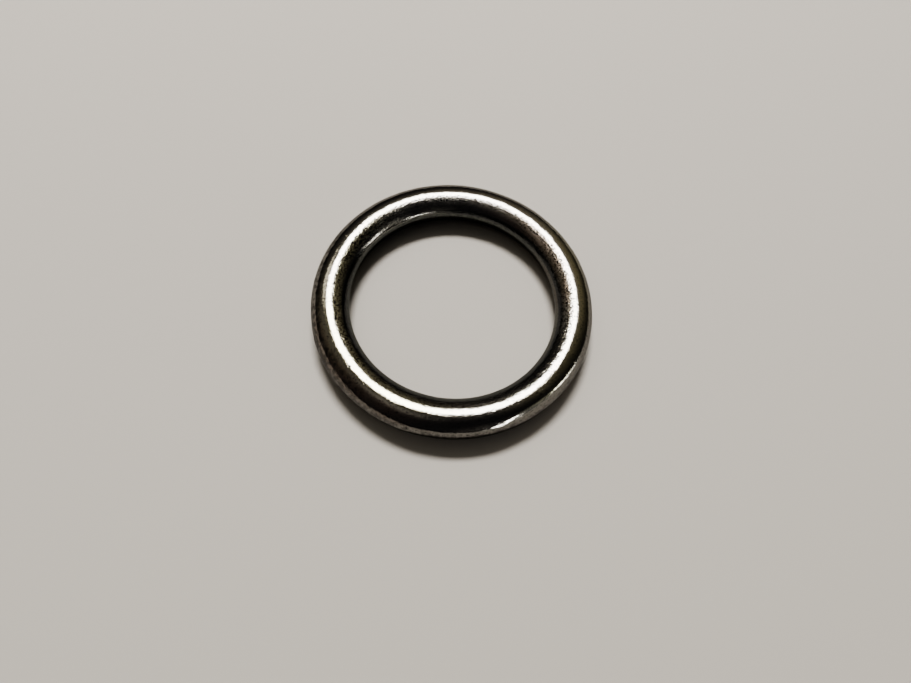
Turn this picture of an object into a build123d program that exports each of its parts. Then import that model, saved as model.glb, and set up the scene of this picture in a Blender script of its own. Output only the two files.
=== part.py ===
from build123d import *
import os

# A closed ring of round bar, the kind that straps and snap hooks are put on.
# It is one piece, with no joint or seam in view, and it lies flat on its underside.
# Lengths are in millimetres. +Z is up, and Z is the ring's own axis.

# Driving dimensions
eye_diameter = 25.0  # clear width of the hole, for a strap of 25 mm
bar_diameter = 4.5  # thickness of the round bar, the same all the way round

# The bar's middle runs on a circle, half a bar outside the hole's edge
bar_radius = bar_diameter / 2
bend_radius = eye_diameter / 2 + bar_radius

# The ring: the bar's round section, standing on z = 0, turned once about Z
with BuildPart() as ring:
    with BuildSketch(Plane.XZ):
        with Locations((bend_radius, bar_radius)):
            Circle(bar_radius)
    revolve(axis=Axis.Z)

ring.part.label = "ring"

os.makedirs("parts", exist_ok=True)
export_step(ring.part, "parts/ring.step")
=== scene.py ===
import math

import bmesh
import bpy
from mathutils import Matrix, Vector, noise


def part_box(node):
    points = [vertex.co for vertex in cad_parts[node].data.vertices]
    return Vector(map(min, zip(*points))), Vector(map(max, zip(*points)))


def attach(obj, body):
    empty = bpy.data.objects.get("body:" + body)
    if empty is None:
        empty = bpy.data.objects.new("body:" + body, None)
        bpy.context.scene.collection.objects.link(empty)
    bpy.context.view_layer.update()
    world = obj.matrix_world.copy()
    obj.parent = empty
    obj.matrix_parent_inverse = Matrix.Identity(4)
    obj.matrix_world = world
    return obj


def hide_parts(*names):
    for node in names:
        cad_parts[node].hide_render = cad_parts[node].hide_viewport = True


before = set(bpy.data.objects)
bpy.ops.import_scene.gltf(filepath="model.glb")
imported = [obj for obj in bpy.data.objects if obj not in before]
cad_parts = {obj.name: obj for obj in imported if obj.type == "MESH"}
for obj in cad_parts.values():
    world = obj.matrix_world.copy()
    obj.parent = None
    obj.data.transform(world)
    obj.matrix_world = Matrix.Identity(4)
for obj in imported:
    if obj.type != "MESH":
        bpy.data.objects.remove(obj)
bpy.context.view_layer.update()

# Sizes, in metres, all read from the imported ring
low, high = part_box("ring")
bar_radius = (high.z - low.z) / 2
outer_radius = (high.x - low.x) / 2
bend_radius = outer_radius - bar_radius
ring_centre = Vector((0, 0, low.z + bar_radius))

# How finely the ring is divided, round the eye and round the bar. The first arc that is spun is doubled
# so many times until it closes.
steps_round_eye = 720
steps_round_bar = 128
doublings = 3
weld_distance = 1e-6

# Places on the ring are given in degrees. The turn round the eye is 0 at the near side and 90 at the
# right. The lean on the bar is 0 at the outer side, 90 on top and 180 inside.

# The shallow waves of the worn skin: the noise's scale and its height in metres. The waves are sunk by
# the inset, and their tops are cut off at the true round bar.
waves = ((600, 0.000016), (1500, 0.000005))
wave_inset = 0.000012

# Where the bar is a little fuller than round: height in metres, lean and its half width, turn, and the
# cosines from that turn between which the fullness grows from nothing to the whole height
swells = (
    (0.000054, 168, 14, 0, -3.0, -2.0),
    (0.00003, 160, 14, 238, 0.6, 0.9),
    (0.00011, 8, 25, 322, 0.82, 0.905),
    (0.00005, 26, 14, 10, 0.9, 0.975),
    (0.00007, 60, 14, 38, 0.9, 0.985),
)

# Small dents: turn, lean, length and width in metres, slant in degrees from lengthwise, and strength
nick_places = (
    (77.2, 114, 0.00042, 0.00026, 35, 1.0),
    (127.2, 117.5, 0.0004, 0.00022, -20, 1.0),
    (316, 83, 0.0004, 0.0003, 20, 1.0),
    (306, 105, 0.0002, 0.0002, 0, 1.0),
    (258, 90, 0.0009, 0.0001, 84, 0.5),
    (30.8, 43, 0.0003, 0.0002, 10, 1.0),
)

# Heights of the grain on the metal, in metres
fine_grain = (0.000014, 0.000024)
coarse_grain = 0.000008
rough_side_grain = 0.00006
streak_height = 0.000005
pit_depth = 0.000002
nick_depth = 0.00003

# The floor, and the backdrop that stands round it
floor_radius = 0.4
backdrop_radius = 0.39
backdrop_height = 1.0
stage_segments = 96

# The picture's frame, in pixels, and where the ring's middle lies in it
picture_width = 911
picture_height = 683
ring_middle_px = (453.26, 301.56)

# Where the camera stands, seen from the ring's middle
camera_distance = 4.7 * bend_radius
camera_elevation = math.radians(61.88)
camera_roll = math.radians(-7.26)
focal_px = 569.1
sensor_width_mm = 36.0


class Socket:
    """One output of a node. Arithmetic on it adds Math nodes to the same tree."""

    def __init__(self, tree, output):
        self.tree = tree
        self.output = output

    def math(self, operation, *values):
        return self.tree.math(operation, *values)

    def __add__(self, other):
        return self.math("ADD", self, other)

    def __radd__(self, other):
        return self.math("ADD", other, self)

    def __sub__(self, other):
        return self.math("SUBTRACT", self, other)

    def __rsub__(self, other):
        return self.math("SUBTRACT", other, self)

    def __mul__(self, other):
        return self.math("MULTIPLY", self, other)

    def __rmul__(self, other):
        return self.math("MULTIPLY", other, self)

    def __truediv__(self, other):
        return self.math("DIVIDE", self, other)

    def __rtruediv__(self, other):
        return self.math("DIVIDE", other, self)

    def __pow__(self, other):
        return self.math("POWER", self, other)


class Tree:
    """The nodes of a material or of the world. add() makes any node, and the rest are short for it."""

    def __init__(self, owner):
        owner.use_nodes = True
        self.nodes = owner.node_tree.nodes
        self.links = owner.node_tree.links
        self.nodes.clear()

    def add(self, kind, settings=None, values=(), output=0):
        node = self.nodes.new(kind)
        for name, value in (settings or {}).items():
            setattr(node, name, value)
        pairs = values.items() if isinstance(values, dict) else enumerate(values)
        for key, value in pairs:
            if isinstance(value, Socket):
                self.links.new(value.output, node.inputs[key])
            else:
                node.inputs[key].default_value = value
        return Socket(self, node.outputs[output]) if node.outputs else None

    def between(self, value, low, high, out_low=0.0, out_high=1.0):
        """value, taken smoothly from low..high to out_low..out_high."""
        settings = {"interpolation_type": "SMOOTHSTEP"}
        return self.add("ShaderNodeMapRange", settings, (value, low, high, out_low, out_high))

    def noise(self, vector, scale, detail, roughness, w=None):
        values = {"Vector": vector, "Scale": scale, "Detail": detail, "Roughness": roughness}
        settings = {"noise_dimensions": "3D"}
        if w is not None:
            settings = {"noise_dimensions": "4D"}
            values["W"] = w
        return self.add("ShaderNodeTexNoise", settings, values)

    def mix(self, factor, a, b):
        """Colour a where factor is 0, and colour b where it is 1."""
        return self.add("ShaderNodeMix", {"data_type": "RGBA"}, {0: factor, 6: a, 7: b}, 2)

    def math(self, operation, *values):
        return self.add("ShaderNodeMath", {"operation": operation}, values)

    def vector(self, x, y, z):
        return self.add("ShaderNodeCombineXYZ", None, (x, y, z))

    def along(self, vector, direction):
        """How far vector reaches in that direction."""
        return self.add("ShaderNodeVectorMath", {"operation": "DOT_PRODUCT"}, (vector, direction), 1)


def grey(level, tint=(1.0, 1.0, 1.0)):
    """A linear grey, tinted a little."""
    return (level * tint[0], level * tint[1], level * tint[2], 1.0)


def round_the_eye(turn):
    """The direction from the ring's axis to the places at that turn."""
    a = math.radians(turn)
    return Vector((math.sin(a), -math.cos(a), 0))


def on_the_bar(turn, lean):
    """The point of the round bar's skin at that turn and lean."""
    a = math.radians(lean)
    out = round_the_eye(turn) * (bend_radius + bar_radius * math.cos(a))
    return ring_centre + out + Vector((0, 0, bar_radius * math.sin(a)))


def nick(t, place, turn, lean, length, width, slant):
    """1 in the middle of a small oval dent and 0 outside it."""
    lengthwise = round_the_eye(turn + 90)
    a = math.radians(lean)
    over_the_bar = round_the_eye(turn) * -math.sin(a) + Vector((0, 0, math.cos(a)))
    s = math.radians(slant)
    long_way = lengthwise * math.cos(s) + over_the_bar * math.sin(s)
    short_way = over_the_bar * math.cos(s) - lengthwise * math.sin(s)
    from_nick = t.add("ShaderNodeVectorMath", {"operation": "SUBTRACT"}, (place, on_the_bar(turn, lean)))
    along = t.along(from_nick, long_way / (length / 2))
    across = t.along(from_nick, short_way / (width / 2))
    return t.between(along * along + across * across, 0.1, 1.0, 1.0, 0.0)


def worn_polish():
    """Dark polished metal: pitted grain, nicks, specks, a duller lower flank and a darker inner wall, with a
    painted olive glow, brown reflection, sheen and dark band.

    outward and upward say where on the round bar a place is, from -1 to 1.
    """
    material = bpy.data.materials.new("worn_polished_metal")
    t = Tree(material)
    place = t.add("ShaderNodeTexCoord", None, (), "Object")
    x, y, z = (t.add("ShaderNodeSeparateXYZ", None, (place,), axis) for axis in range(3))
    from_axis = (x * x + y * y) ** 0.5
    outward = (from_axis - bend_radius) / bar_radius
    upward = (z - ring_centre.z) / bar_radius

    # Patterns, from the broadest to the finest, and two that are drawn out upwards and lengthwise
    patches = t.noise(place, 150.0, 2.0, 0.5)
    blotches = t.noise(place, 400.0, 3.0, 0.6)
    coarse = t.noise(place, 1700.0, 2.0, 0.5)
    mottle = t.noise(place, 3000.0, 3.0, 0.6)
    grain = t.noise(place, 4400.0, 1.5, 0.5)
    dots = t.noise(place, 5600.0, 1.0, 0.5)
    upright = t.noise(t.vector(x, y, z * 0.5), 3000.0, 2.5, 0.6)
    lengthwise = t.vector(x * 300, y * 300, from_axis * 4200)
    streaks = t.noise(lengthwise, 1.0, 2.0, 0.5, z * 4200)

    def side(turn, wide, narrow):
        """0 where the cosine from that turn falls below wide, and 1 where it is above narrow."""
        return t.between(t.along(place, round_the_eye(turn)) / from_axis, wide, narrow)

    # 1 at the near side of the ring and -1 at the far side
    nearness = t.along(place, round_the_eye(0)) / from_axis

    # The lower outer flank, the band inside the highlight, and their left parts
    flank = t.between(outward, 0.25, 0.6) * t.between(upward, 0.62, 0.3)
    left_flank = side(282, 0.5, 0.95) * t.between(outward, 0.3, 0.55)
    inner_band = t.between(outward, -0.16, -0.36) * t.between(outward, -0.8, -0.66)
    left_band = inner_band * side(275, 0.4, 0.9)

    # Painted reflection: a dark band above the inner wall, painted where the metal would mirror the lit
    # floor. It lies higher on the near side and is broken at the far left.
    dark_below = nearness * 0.18 + 0.63
    dark_above = nearness * 0.24 + nearness * nearness * 0.1 + 0.4
    painted_dark_band = t.between(upward - dark_above, -0.04, 0.03) * t.between(upward - dark_below, 0.05, -0.03)
    painted_dark_band = painted_dark_band * t.between(outward, 0, -0.2) * (1 - side(222, 0.8, 0.92))

    # The darker inner wall, up to the painted dark band. A line at the far left stays bright, and the right
    # is lighter.
    bright_line = side(212, 0.72, 0.96) * t.between(upward, 0.26, 0.38) * t.between(upward, 0.75, 0.6)
    inner_wall = t.between(outward, -0.45, -0.75)
    inner_wall = inner_wall * (1 - bright_line) * (1 - side(92, 0.7, 0.95) * 0.4)
    inner_wall = inner_wall * t.between(upward - dark_below, 0.12, -0.02)

    # Painted reflection: a brown cast painted low on the near left and inside the far right
    painted_brown_reflection = side(318, 0.7, 0.97) * t.between(outward, 0.28, 0.5)
    painted_brown_reflection = painted_brown_reflection + side(122, 0.75, 0.97) * t.between(outward, -0.15, -0.5)
    painted_brown_reflection = painted_brown_reflection * t.between(blotches, 0.35, 0.6, 0.5, 1.0)

    # Painted highlight glow: an olive cast painted just outside the highlight, on the right and on the near
    # left
    painted_olive_glow = side(85, 0.4, 0.95) * t.between(outward, -0.02, 0.2) * t.between(upward, 0.7, 0.84)
    left_painted_olive_glow = side(322, 0.6, 0.95) * t.between(outward, 0.3, 0.15) * t.between(upward, 0.7, 0.84)
    painted_olive_glow = painted_olive_glow + left_painted_olive_glow * 0.7

    # Inside the right: a rougher side, and a dull mottled patch a little farther back
    rough_side = side(88, 0.5, 0.9) * t.between(outward, -0.15, -0.4) * t.between(outward, -0.95, -0.75)
    dull_patch = side(110, 0.75, 0.95) * t.between(outward, -0.4, -0.55) * t.between(outward, -0.95, -0.8)
    dull_patch = dull_patch * t.between(mottle, 0.38, 0.58)

    # Nicks at their own places, pits all over, and specks that are thickest beside the highlight
    nicks = 0
    for *shape, strength in nick_places:
        nicks = nick(t, place, *shape) * strength + nicks
    pits = t.between(mottle, 0.62, 0.7) * t.between(patches, 0.35, 0.6, 0.35, 1.0)
    inside_it = t.between(outward, -0.2, -0.27) * t.between(outward, -0.65, -0.5)
    outside_it = t.between(outward, 0.02, 0.08) * t.between(outward, 0.3, 0.2)
    off_the_crown = t.between(upward, 0.98, 0.93)
    specks = t.between(dots, 0.55, 0.6) * (inside_it + outside_it * 0.45)
    specks = specks + t.between(dots, 0.62, 0.66) * off_the_crown * 0.7
    specks = specks + t.between(dots, 0.48, 0.56) * left_band * 0.8
    specks = t.math("MINIMUM", specks, 1.0)

    # The skin's small heights: the grain is stronger inside the highlight
    inner_side = t.between(outward, -0.08, -0.26) * t.between(outward, -0.86, -0.7, 0.35, 1.0)
    height = grain * t.between(blotches, 0.35, 0.65, *fine_grain) * (inner_side * 0.8 + 0.75)
    height = height + coarse * (rough_side * rough_side_grain + coarse_grain)
    height = height + streaks * streak_height
    height = height - pits * pit_depth - nicks * nick_depth
    normal = t.add("ShaderNodeBump", None, {"Strength": 1.0, "Distance": 1.0, "Height": height})

    # Colour, from the clean metal up: painted brown reflection and olive glow, dull flank, painted sheen,
    # darker inner wall, painted dark band, dents and specks
    clean = t.mix(patches, grey(0.29, (1.0, 0.97, 0.92)), grey(0.26, (1.0, 0.96, 0.89)))
    # Painted brown reflection
    colour = t.mix(painted_brown_reflection, clean, grey(0.26, (1.0, 0.86, 0.76)))
    # Painted olive glow beside the highlight
    colour = t.mix(painted_olive_glow, colour, grey(0.29, (1.0, 0.97, 0.74)))
    dark_dull = grey(0.14, (1.0, 0.95, 0.9))
    pale_dull = grey(0.27, (1.0, 0.97, 0.91))
    colour = t.mix(flank, colour, t.mix(t.between(upright, 0.4, 0.58), dark_dull, pale_dull))
    dark_mottle = left_flank * t.between(coarse, 0.54, 0.44)
    colour = t.mix(dark_mottle, colour, grey(0.13, (1.0, 0.93, 0.86)))
    # Painted sheen: the band inside the highlight on the left is paler and yellower, brightening the side
    # lamp's reflection there
    colour = t.mix(left_band, colour, grey(0.34, (1.0, 0.98, 0.8)))
    duller = side(122, 0.65, 0.95) * 0.75 + side(275, 0.7, 0.95) * 0.3
    colour = t.mix(flank * duller, colour, grey(0.09, (1.0, 0.94, 0.95)))
    dark_inner_tone = grey(0.09, (0.97, 1.0, 0.95))
    pale_inner_tone = grey(0.14, (0.97, 1.0, 0.92))
    colour = t.mix(inner_wall, colour, t.mix(t.between(mottle, 0.35, 0.6), dark_inner_tone, pale_inner_tone))
    # Painted reflection: the dark band over the inner wall
    colour = t.mix(painted_dark_band, colour, grey(0.09))
    colour = t.mix(t.math("MINIMUM", nicks + pits * 0.4, 1.0), colour, grey(0.05))
    colour = t.mix(specks, colour, grey(0.012))

    # Roughness: polished, but less so on the flank, inside the highlight and in the dull patch
    roughness = t.between(blotches, 0.3, 0.7, 0.09, 0.13) + flank * 0.06 + inner_wall * 0.04
    roughness = roughness + t.between(streaks, 0.5, 0.65) * 0.03 + dull_patch * 0.2
    roughness = roughness + inner_band * (side(180, 0.2, 0.8) * 0.05 + 0.08)

    metal = t.add(
        "ShaderNodeBsdfPrincipled",
        None,
        {
            "Base Color": colour,
            "Metallic": 1.0,
            "Roughness": roughness,
            "Specular Tint": (0.6, 0.6, 0.6, 1.0),
            "Normal": normal,
        },
    )
    t.add("ShaderNodeOutputMaterial", None, {"Surface": metal})
    return material


def fullness(turn, lean):
    """How far the swells raise the skin at that turn and lean, in metres."""
    total = 0
    for height, middle_lean, half_width, middle_turn, start, full in swells:
        share = (math.cos(math.radians(turn - middle_turn)) - start) / (full - start)
        off = (lean - middle_lean + 180) % 360 - 180
        total = total + height * min(max(share, 0), 1) * math.exp(-((off / half_width) ** 2))
    return total


def wear_the_skin(bm):
    """Sinks each point by shallow waves, and raises the fuller places."""
    for vert in bm.verts:
        spot = vert.co.copy()
        out = Vector((spot.x, spot.y, 0)).normalized()
        from_bar = spot - ring_centre - out * bend_radius
        lean = math.degrees(math.atan2(from_bar.z, from_bar.dot(out)))
        turn = math.degrees(math.atan2(spot.x, -spot.y))
        wave = sum(noise.noise(spot * scale) * size for scale, size in waves)
        sunk = min(wave - wave_inset, 0)
        vert.co = spot + from_bar.normalized() * (sunk + fullness(turn, lean))


def make_ring(material):
    """The bar's round section, spun through an arc that is then doubled until the circle closes."""
    bm = bmesh.new()
    to_bar = Matrix.Translation((bend_radius, 0, ring_centre.z)) @ Matrix.Rotation(math.pi / 2, 4, "X")
    bmesh.ops.create_circle(bm, segments=steps_round_bar, radius=bar_radius, matrix=to_bar)
    arcs = 2**doublings
    turn = math.tau / arcs
    bmesh.ops.spin(
        bm,
        geom=list(bm.verts) + list(bm.edges),
        cent=ring_centre,
        axis=(0, 0, 1),
        angle=turn,
        steps=steps_round_eye // arcs,
    )
    for _ in range(doublings):
        arc = list(bm.verts) + list(bm.edges) + list(bm.faces)
        copy = bmesh.ops.duplicate(bm, geom=arc)["geom"]
        moved = [part for part in copy if isinstance(part, bmesh.types.BMVert)]
        bmesh.ops.rotate(bm, verts=moved, cent=ring_centre, matrix=Matrix.Rotation(turn, 3, "Z"))
        turn = turn * 2
    bmesh.ops.remove_doubles(bm, verts=bm.verts, dist=weld_distance)
    wear_the_skin(bm)
    bmesh.ops.recalc_face_normals(bm, faces=bm.faces)
    for face in bm.faces:
        face.smooth = True
    mesh = bpy.data.meshes.new("ring_of_round_bar")
    bm.to_mesh(mesh)
    bm.free()
    piece = bpy.data.objects.new("ring_of_round_bar", mesh)
    bpy.context.scene.collection.objects.link(piece)
    piece.data.materials.append(material)
    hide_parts("ring")
    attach(piece, "root")
    return piece


def pale_floor():
    """A plain round floor of matt pale paint, at the level that the ring lies on."""
    material = bpy.data.materials.new("pale_floor")
    t = Tree(material)
    paint = t.add(
        "ShaderNodeBsdfPrincipled",
        None,
        {
            "Base Color": (0.505, 0.487, 0.465, 1.0),
            "Roughness": 0.9,
            "Specular IOR Level": 0.1,
        },
    )
    t.add("ShaderNodeOutputMaterial", None, {"Surface": paint})
    bm = bmesh.new()
    bmesh.ops.create_circle(bm, cap_ends=True, segments=stage_segments, radius=floor_radius)
    mesh = bpy.data.meshes.new("floor")
    bm.to_mesh(mesh)
    bm.free()
    floor = bpy.data.objects.new("floor", mesh)
    floor.data.materials.append(material)
    bpy.context.scene.collection.objects.link(floor)


def pale_backdrop():
    """A pale wall round the floor, for low views. It gives no light and casts no reflection."""
    material = bpy.data.materials.new("pale_backdrop")
    t = Tree(material)
    glow = t.add("ShaderNodeEmission", None, {"Color": (0.4, 0.388, 0.375, 1.0), "Strength": 1.0})
    t.add("ShaderNodeOutputMaterial", None, {"Surface": glow})
    bm = bmesh.new()
    bmesh.ops.create_cone(
        bm,
        segments=stage_segments,
        radius1=backdrop_radius,
        radius2=backdrop_radius,
        depth=backdrop_height,
    )
    mesh = bpy.data.meshes.new("backdrop")
    bm.to_mesh(mesh)
    bm.free()
    backdrop = bpy.data.objects.new("backdrop", mesh)
    backdrop.data.materials.append(material)
    backdrop.visible_diffuse = False
    backdrop.visible_glossy = False
    backdrop.visible_transmission = False
    backdrop.visible_shadow = False
    bpy.context.scene.collection.objects.link(backdrop)


def towards(azimuth, elevation):
    """The direction with that azimuth, from +Y towards +X, and elevation, in degrees."""
    a = math.radians(azimuth)
    e = math.radians(elevation)
    return Vector((math.sin(a) * math.cos(e), math.cos(a) * math.cos(e), math.sin(e)))


def panel(name, azimuth, elevation, distance, size, radiance, tint, shape="DISK"):
    """An area light that faces the ring. Its power is worked out from its brightness and its size."""
    light = bpy.data.lights.new(name, "AREA")
    light.shape = shape
    light.size = size[0]
    light.size_y = size[1]
    area = size[0] * size[1] * (1.0 if shape == "RECTANGLE" else math.pi / 4)
    light.energy = radiance * area * math.pi
    light.color = tint
    lamp = bpy.data.objects.new(name, light)
    out = towards(azimuth, elevation)
    lamp.location = ring_centre + out * distance
    lamp.rotation_euler = out.to_track_quat("Z", "Y").to_euler()
    lamp.visible_camera = False
    bpy.context.scene.collection.objects.link(lamp)
    return lamp


def spread(distance, *half_angles):
    """Sizes, in metres, that are seen at these half angles from that distance."""
    return [2 * distance * math.tan(math.radians(half_angle)) for half_angle in half_angles]


def light_the_stage():
    """The key lights the floor, and the metal mirrors a broad shade in its place. The rest edge it."""
    key_distance = 0.6
    shade_distance = 0.4
    shade_width = 0.69 * shade_distance
    shade_offset = Vector((-0.07, 0.37, 1.0)) * shade_distance
    lamp_distance = 0.4
    window_distance = 0.8
    warm = (1.0, 0.97, 0.92)
    yellow = (1.0, 0.93, 0.78)
    right_day = (1.0, 0.98, 0.93)
    near_day = (1.0, 0.98, 0.95)

    key = panel("key", -12, 60, key_distance, spread(key_distance, 12, 5), 60.0, warm, "ELLIPSE")
    key.visible_glossy = False
    shade = panel("key_shade", 0, 90, shade_distance, (shade_width, shade_width), 13.0, warm)
    shade.location = ring_centre + shade_offset
    shade.visible_diffuse = False
    panel("side_lamp", -50, 46, lamp_distance, spread(lamp_distance, 8, 8), 1.7473, yellow)
    right_size = spread(window_distance, 9, 3)
    panel("right_window", 99, 4.5, window_distance, right_size, 6.5, right_day, "RECTANGLE")
    near_size = spread(window_distance, 8, 1.7)
    panel("near_window", 140, 3, window_distance, near_size, 16.0, near_day, "RECTANGLE")
    studio_world()


def studio_world():
    """A dark room with a few soft pools of light. Each pool: direction, tightness, brightness, tint."""
    pools = (
        ((-12, 64), 15.0, 0.42, (1.0, 0.94, 0.8)),
        ((30, 42), 9.0, 0.33, (1.0, 0.87, 0.62)),
        ((-80, 42), 9.0, 0.23, (1.0, 0.9, 0.62)),
        ((-136, 64), 35.0, 0.34, (1.0, 0.92, 0.78)),
        ((-138, 30), 14.0, 0.035, (1.0, 0.72, 0.6)),
        ((118, 7), 60.0, 0.5, (1.0, 0.97, 0.86)),
        ((156, 10), 50.0, 0.1, (1.0, 0.93, 0.8)),
        ((-110, 8), 12.0, 0.03, (1.0, 0.75, 0.65)),
    )
    world = bpy.data.worlds.new("studio")
    bpy.context.scene.world = world
    t = Tree(world)
    way = t.add("ShaderNodeTexCoord", None, (), "Generated")
    total = (0.04, 0.039, 0.041, 1.0)
    for (azimuth, elevation), tightness, brightness, tint in pools:
        facing = t.along(way, towards(azimuth, elevation))
        pool = t.math("EXPONENT", (facing - 1) * tightness)
        colour = grey(brightness, tint)
        total = t.add(
            "ShaderNodeMix",
            {"data_type": "RGBA", "blend_type": "ADD"},
            {0: pool, 6: total, 7: colour},
            2,
        )
    glow = t.add("ShaderNodeBackground", None, {"Color": total, "Strength": 1.0})
    t.add("ShaderNodeOutputWorld", None, {"Surface": glow})


def place_camera():
    """The photograph's view. The lens isn't shifted: the camera is turned to bring the ring to its place."""
    data = bpy.data.cameras.new("camera")
    data.sensor_width = sensor_width_mm
    data.lens = focal_px * sensor_width_mm / picture_width
    data.clip_start = 0.005
    data.clip_end = 5.0
    camera = bpy.data.objects.new("camera", data)
    back = Vector((0, -math.cos(camera_elevation), math.sin(camera_elevation)))
    right = Vector((1, 0, 0))
    upright = Matrix((right, back.cross(right), back)).transposed()
    beside = (ring_middle_px[0] - picture_width / 2) / focal_px
    above = (picture_height / 2 - ring_middle_px[1]) / focal_px
    to_middle = Vector((0, 0, -1)).rotation_difference(Vector((beside, above, -1)))
    turned = upright @ Matrix.Rotation(-camera_roll, 3, "Z") @ to_middle.to_matrix().transposed()
    camera.matrix_world = Matrix.Translation(ring_centre + back * camera_distance) @ turned.to_4x4()
    bpy.context.scene.collection.objects.link(camera)
    bpy.context.scene.camera = camera


bpy.context.scene.view_settings.view_transform = "AgX"
bpy.context.scene.view_settings.look = "AgX - High Contrast"
place_camera()
make_ring(worn_polish())
pale_floor()
pale_backdrop()
light_the_stage()
